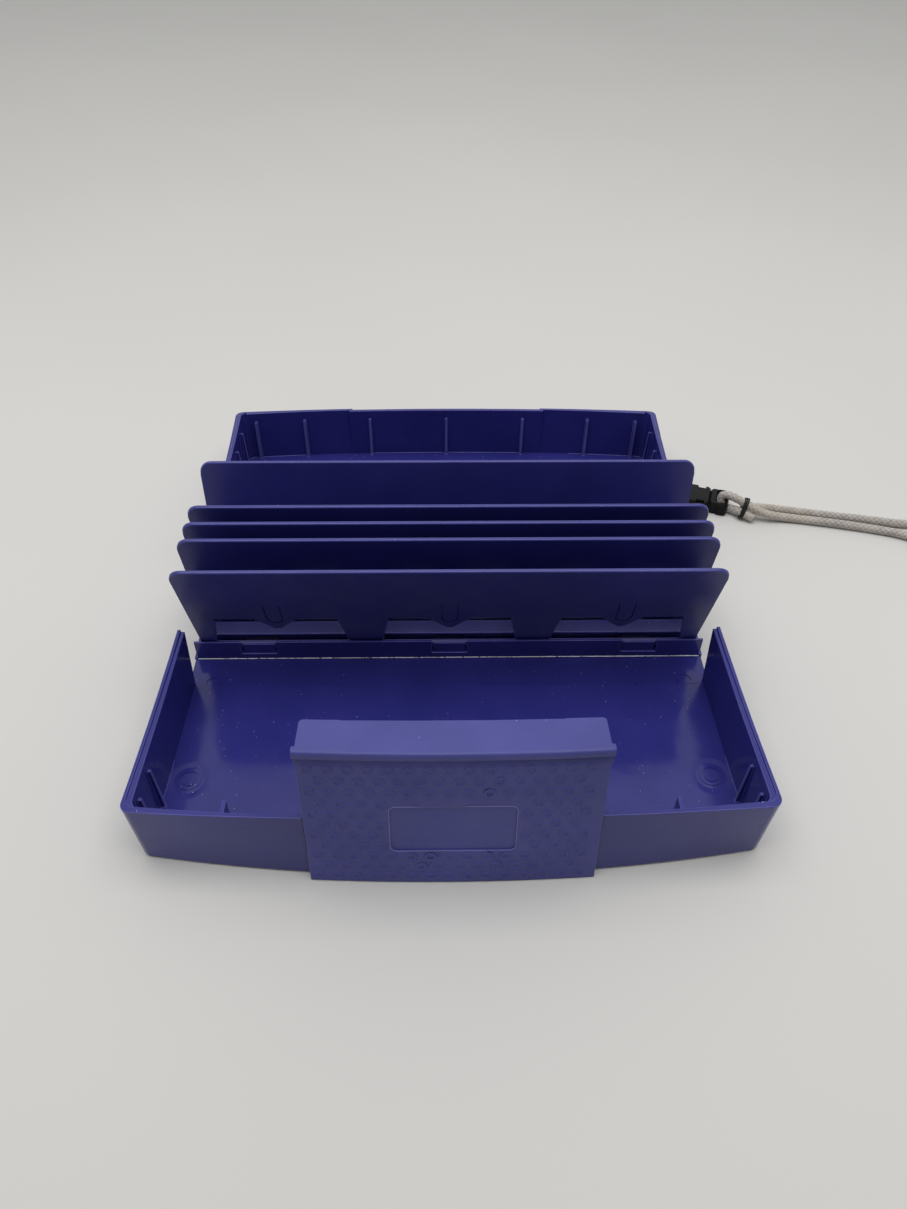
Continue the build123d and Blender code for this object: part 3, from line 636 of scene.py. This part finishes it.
ring_verts, ring_faces = [], []
row, ring_level = 0, RING_LOWEST
while ring_level < RING_HIGHEST:
    ring_x = -LATCH_HALF_WIDTH + RING_MARGIN_LEFT + (RING_ACROSS / 2 if row % 2 else 0)
    while ring_x < LATCH_HALF_WIDTH - RING_MARGIN_RIGHT:
        beside = abs(ring_x) > PLATE_WIDTH / 2 + RING_FROM_PLATE
        if beside or abs(ring_level - PLATE_MIDDLE) > PLATE_HEIGHT / 2 + RING_FROM_PLATE:
            add_ring(ring_verts, ring_faces, ring_x, ring_level)
        ring_x += RING_ACROSS
    ring_level += RING_UP
    row += 1
rings = mesh_object("latch_rings", ring_verts, ring_faces)
set_material(rings, ring_plastic)
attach(rings, "latch")

# Rounded nose of the latch's ridge, and the cove under it: distance out, distance up the latch
RIDGE_SKIN = 0.03
RIDGE_STEPS = 64
RIDGE_BACK = (-1.38, -0.7)
ROUNDING = 0.3
ROUNDING_ANGLES = (0.0, 0.4, 0.8, 1.2)
NOSE_MIDDLE = (-0.2, 55.35)
NOSE_RADIUS = RIDGE_PROUD + RIDGE_SKIN
COVE = [(-0.1, 53.72), (-0.4, 53.35), (-0.55, 53.05), (-0.5, 52.75), (-0.3, 52.0), (0.03, 50.7)]


def nose_arc(middle, first, last, steps):
    """Points of a round of the nose about a level, between two angles in quarter turns."""
    angles = [math.pi / 2 * (first + (last - first) * i / steps) for i in range(steps + 1)]
    return [(NOSE_RADIUS * math.cos(a), middle + NOSE_RADIUS * math.sin(a)) for a in angles]


def ridge_columns():
    """Places across the ridge, and how far its nose is drawn in at each to round both ends."""
    columns = []
    for a in ROUNDING_ANGLES:
        x = -RIDGE_HALF_WIDTH - RIDGE_SKIN + ROUNDING * (1 - math.cos(a))
        columns.append((x, ROUNDING * (1 - math.sin(a))))
    right_end = [(-x, inset) for x, inset in reversed(columns)]
    half = RIDGE_HALF_WIDTH + RIDGE_SKIN - ROUNDING
    columns += [(-half + 2 * half * i / RIDGE_STEPS, 0.0) for i in range(RIDGE_STEPS + 1)]
    return columns + right_end


ridge_nose = [(out, LATCH_TOP + RIDGE_SKIN) for out in RIDGE_BACK]
ridge_nose += nose_arc(LATCH_TOP - RIDGE_PROUD, 1.0, 0.0, steps=8)
ridge_nose += nose_arc(LATCH_TOP - 2 * RIDGE_PROUD, 0.0, -0.92, steps=6)
ridge_profile = ridge_nose + COVE
ridge_verts, ridge_faces = [], []
ridge_places = ridge_columns()
for x, inset in ridge_places:
    for k, (out, level) in enumerate(ridge_profile):
        if k < len(ridge_nose):
            away = math.hypot(out - NOSE_MIDDLE[0], level - NOSE_MIDDLE[1])
            out -= (out - NOSE_MIDDLE[0]) * inset / away
            level -= (level - NOSE_MIDDLE[1]) * inset / away
        ridge_verts.append(latch_place(x, latch_face(x, RIDGE_HALF_WIDTH) + out, level))
for i in range(len(ridge_places) - 1):
    for k in range(len(ridge_profile) - 1):
        here = i * len(ridge_profile) + k
        there = here + len(ridge_profile)
        ridge_faces.append((here, here + 1, there + 1, there))
ridge_faces.append(tuple(reversed(range(len(ridge_nose)))))
last = (len(ridge_places) - 1) * len(ridge_profile)
ridge_faces.append(tuple(range(last, last + len(ridge_nose))))
ridge = mesh_object("latch_ridge", ridge_verts, ridge_faces)
set_material(ridge, latch_plastic)
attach(ridge, "latch")

# Painted highlight: a pale bead round the edge of the label plate's recess
PLATE_EDGE_RADIUS = 0.14
PLATE_EDGE_OUTSIDE = 0.08
PLATE_EDGE_SUNK = 0.02
CORNER_STEPS = 6

plate_points = []
for side_x, side_up, start in ((1, 1, 0), (-1, 1, 90), (-1, -1, 180), (1, -1, 270)):
    for i in range(CORNER_STEPS + 1):
        a = math.radians(start + 90 / CORNER_STEPS * i)
        r = PLATE_CORNER + PLATE_EDGE_OUTSIDE
        x = side_x * (PLATE_WIDTH / 2 - PLATE_CORNER) + r * math.cos(a)
        level = PLATE_MIDDLE + side_up * (PLATE_HEIGHT / 2 - PLATE_CORNER) + r * math.sin(a)
        plate_points.append(latch_place(x, latch_face(x) - PLATE_EDGE_SUNK, level))
plate_points.append(plate_points[0])
plate_edge = tube("plate_edge", plate_points, THIN_SIDES, lambda k, angle: PLATE_EDGE_RADIUS * MM)
set_material(plate_edge, plate_edge_highlight)
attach(plate_edge, "latch")

# Whipping: thread wound tightly round the three cords
WHIP_MIDDLE = 37.0
WHIP_TURNS = 3
WHIP_PITCH = 0.65
WHIP_THREAD = 0.6
WHIP_GAP = 0.03
WHIP_TILT, WHIP_TILT_STEP = 0.7, 0.12
WHIP_ARC_STEPS = 8


def whip_outline(reach):
    """A closed line across the strap, tight round circles of this radius about each cord."""
    places = [strap_place(p) for p in cord_line]
    centres = []
    for one, two in zip(places, places[1:]):
        if (one[0] - WHIP_MIDDLE) * (two[0] - WHIP_MIDDLE) <= 0:
            centres.append(one[1:])
    middle = [sum(c[i] for c in centres) / len(centres) for i in (0, 1)]
    centres.sort(key=lambda c: math.atan2(c[1] - middle[1], c[0] - middle[0]))
    outline = []
    for k, (across, height) in enumerate(centres):
        before, after = centres[k - 1], centres[(k + 1) % len(centres)]
        start = math.atan2(height - before[1], across - before[0]) - math.pi / 2
        end = math.atan2(after[1] - height, after[0] - across) - math.pi / 2
        sweep = (end - start) % (2 * math.pi)
        for i in range(WHIP_ARC_STEPS + 1):
            a = start + sweep * i / WHIP_ARC_STEPS
            outline.append((across + reach * math.cos(a), height + reach * math.sin(a)))
    return outline


def strap_ring(name, along, reach, thread, tilt):
    """One turn of thread round the cords, which leans along the strap."""
    outline = whip_outline(reach)
    top = max(height for across, height in outline)
    points = []
    for across, height in outline + outline[:1]:
        points.append(strap_point(along + tilt * (2 * height / top - 1), across, height))
    return tube(name, points, THIN_SIDES, lambda k, angle: thread / 2 * MM)


whip_reach = CORD_DIAMETER / 2 + WHIP_THREAD / 2 + WHIP_GAP
for i in range(WHIP_TURNS):
    along = WHIP_MIDDLE + (i - 1) * WHIP_PITCH
    tilt = WHIP_TILT + WHIP_TILT_STEP * i
    ring = strap_ring(f"whipping_{i + 1}", along, whip_reach, WHIP_THREAD, tilt)
    set_material(ring, dark_thread)
    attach(ring, "strap_plug")
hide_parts("strap_whipping")
set_material(cord, cord_yarn)

# Whitened film along the two folding edges, and the flecks torn from it
FILM_HALF_LENGTH = 96.2
FILM_STEPS = 380
FILM_WOBBLE = 0.05
FILM_WIDER, FILM_WIDER_FROM, FILM_WIDER_OVER = 0.45, 84.0, 6.0
FILM_INNER = (-0.5, 1.03)  # past the spine's end, height
FILM_FOLD = (0.02, 1.04)
FILM_OUTER = (0.27, 0.97)
FLECKS_HALF_LENGTH = 95
FLECKS_LAST = 95.5
FLECKS_ACROSS = (-0.8, 0.03)  # past the spine's end
FLECKS_LEVEL = 1.02
FLECK_LENGTH, FLECK_WIDTH, FLECK_HEIGHT = (0.15, 0.55), (0.09, 0.2), (0.1, 0.4)
CLUSTERED = 0.4
CLUSTERS = (-70, -25, 30, 75)
CLUSTER_SPREAD = 18
WHITE_ENDS = (83, 90)
random.seed(7)


def fold_film(name, side):
    """A thin strip on the spine's edge, wider at its ends, whose inner border is uneven."""
    verts, faces = [], []
    for i in range(FILM_STEPS + 1):
        x = -FILM_HALF_LENGTH + 2 * FILM_HALF_LENGTH * i / FILM_STEPS
        wobble = random.uniform(-FILM_WOBBLE, FILM_WOBBLE)
        at_end = min(1.0, max(0.0, (abs(x) - FILM_WIDER_FROM) / FILM_WIDER_OVER))
        inner = (FILM_INNER[0] - FILM_WIDER * at_end, FILM_INNER[1] + wobble)
        for past, z in (inner, FILM_FOLD, FILM_OUTER):
            verts.append(Vector((x, side * (SPINE_END + past), z)) * MM)
    for i in range(FILM_STEPS):
        for k in range(2):
            a = i * 3 + k
            quad = (a, a + 1, a + 4, a + 3)
            faces.append(quad if side > 0 else tuple(reversed(quad)))
    piece = mesh_object(name, verts, faces)
    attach(piece, "spine")
    return piece


def fold_flecks(name, side, count):
    """Torn white flecks of the folding film, along its edge."""
    verts, faces = [], []
    for _ in range(count):
        x = random.uniform(-FLECKS_HALF_LENGTH, FLECKS_HALF_LENGTH)
        if random.random() < CLUSTERED:
            x = random.gauss(0, 1) * CLUSTER_SPREAD + random.choice(CLUSTERS)
        if abs(x) > FLECKS_LAST:
            continue
        y, z = SPINE_END + random.uniform(*FLECKS_ACROSS), FLECKS_LEVEL
        long = random.uniform(*FLECK_LENGTH)
        wide = random.uniform(*FLECK_WIDTH)
        high = random.uniform(*FLECK_HEIGHT)
        foot = [(-long, 0, 0), (0, -wide, 0), (long, 0, 0), (0, wide, 0)]
        start = len(verts)
        for dx, dy, dz in foot + [(0.1 * long, 0, high)]:
            verts.append(Vector((x + dx, side * (y + dy), z + dz)) * MM)
        for k in range(4):
            face = (start + k, start + (k + 1) % 4, start + 4)
            faces.append(face if side > 0 else tuple(reversed(face)))
    piece = mesh_object(name, verts, faces, smooth=False)
    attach(piece, "spine")
    return piece


def stressed_film():
    """Plastic that has gone white in flecks; near both ends of the fold it is white all over."""
    mat, tree, shader = node_material("stressed_film")
    coords = coordinates(tree, "Object")
    fleck = spread(tree, noise(tree, coords, 900.0, 2.0), 0.34, 0.44)
    lengthwise = spread(tree, noise(tree, coords, 40.0, 3.0), 0.30, 0.5, 0.35, 1.0)
    white = math_node(tree, "MULTIPLY", fleck, lengthwise)
    from_middle = math_node(tree, "ABSOLUTE", axes(tree, coords)[0])
    ends = spread(tree, from_middle, WHITE_ENDS[0] * MM, WHITE_ENDS[1] * MM)
    white = math_node(tree, "MAXIMUM", white, ends)
    colour = mix_colour(tree, white, srgb(*DEEP), srgb(240, 240, 250))
    tree.links.new(colour, shader.inputs["Base Color"])
    shader.inputs["Roughness"].default_value = 0.6
    return mat


def torn_film():
    """Loose white flecks of plastic."""
    mat, tree, shader = node_material("torn_film")
    tone = spread(tree, noise(tree, coordinates(tree, "Object"), 700.0, 2.0), 0.35, 0.65)
    colour = mix_colour(tree, tone, srgb(205, 205, 222), srgb(244, 244, 247))
    tree.links.new(colour, shader.inputs["Base Color"])
    shader.inputs["Roughness"].default_value = 0.7
    return mat


film = stressed_film()
for name, side in (("front_fold_film", -1), ("rear_fold_film", 1)):
    set_material(fold_film(name, side), film)
torn = torn_film()
for name, side, count in (("front_fold_flecks", -1, 380), ("rear_fold_flecks", 1, 60)):
    set_material(fold_flecks(name, side, count), torn)

# Studio: a pale table top and soft light from above
TABLE_SIZE = 8
LAMP_PLACE = (0.0, -0.08, 1.1)
LAMP_SIZE = (1.3, 0.9)
LAMP_POWER = 9.6
ROOM_DARK, ROOM_LIGHT = 0.18, 0.78


def table_top():
    """Matt pale paper, with painted shade that makes it slightly darker towards the viewer."""
    mat, tree, shader = node_material("table")
    coords = coordinates(tree, "Object")
    paper = spread(tree, noise(tree, coords, 3.0, 2.0), 0.3, 0.7)
    sheet = mix_colour(tree, paper, srgb(206, 205, 202), srgb(210, 209, 206))
    # painted shade: the paper darkens towards the viewer
    nearer_painted_shade = spread(tree, axes(tree, coords)[1], -0.05, -0.30)
    sheet = mix_colour(tree, nearer_painted_shade, sheet, srgb(196, 195, 192))
    tree.links.new(sheet, shader.inputs["Base Color"])
    shader.inputs["Roughness"].default_value = 0.75
    shader.inputs["Specular IOR Level"].default_value = 0.2
    return mat


def light_room():
    """A room that is darker in front of the table and lighter behind it."""
    world = bpy.data.worlds.new("studio")
    bpy.context.scene.world = world
    world.use_nodes = True
    tree = world.node_tree
    background = tree.nodes["Background"]
    backdrop = spread(tree, axes(tree, coordinates(tree, "Generated"))[1], -0.7, 0.7)
    tint = mix_colour(tree, backdrop, (*[ROOM_DARK] * 3, 1.0), (*[ROOM_LIGHT] * 3, 1.0))
    tree.links.new(tint, background.inputs["Color"])
    background.inputs["Strength"].default_value = 1.0


def area_light(name, place, target, size, power):
    """A rectangular lamp that points at a target."""
    light = bpy.data.lights.new(name, "AREA")
    light.shape = "RECTANGLE"
    light.size, light.size_y = size
    light.energy = power
    lamp = add_object(name, light)
    lamp.location = place
    lamp.rotation_euler = (Vector(target) - Vector(place)).to_track_quat("-Z", "Y").to_euler()


bpy.ops.mesh.primitive_plane_add(size=TABLE_SIZE)
table = bpy.context.object
table.name = "table"
set_material(table, table_top())
light_room()
area_light("overhead", LAMP_PLACE, (0, 0, 0), LAMP_SIZE, LAMP_POWER)
